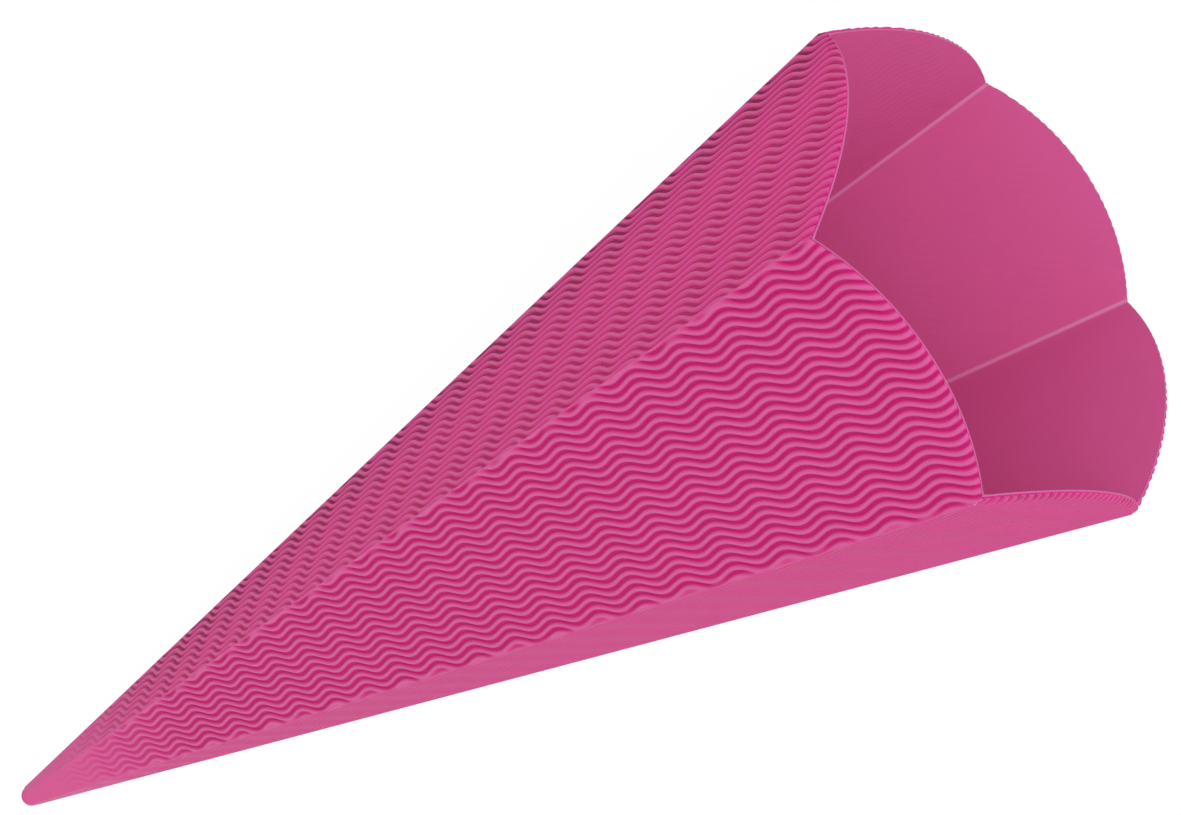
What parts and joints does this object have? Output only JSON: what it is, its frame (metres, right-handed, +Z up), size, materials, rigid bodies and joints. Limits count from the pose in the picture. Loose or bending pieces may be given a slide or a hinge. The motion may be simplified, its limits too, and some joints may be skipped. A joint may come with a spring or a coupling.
{
  "type": "school cone",
  "caption": "Empty six-sided school cone folded from wavy corrugated card, with a scalloped rim and a rounded tip.",
  "frame": {"origin": "on the surface that the cone lies on, under the middle of its bounding box", "axes": "+Z up, +X from the tip towards the mouth; the cone lies on the flutes of one panel"},
  "size_m": [0.6776, 0.2138, 0.1888],
  "materials": {
    "wave_board": "matt"
  },
  "bodies": {
    "root": {"folded_cone": "wave_board"}
  },
  "joints": []
}
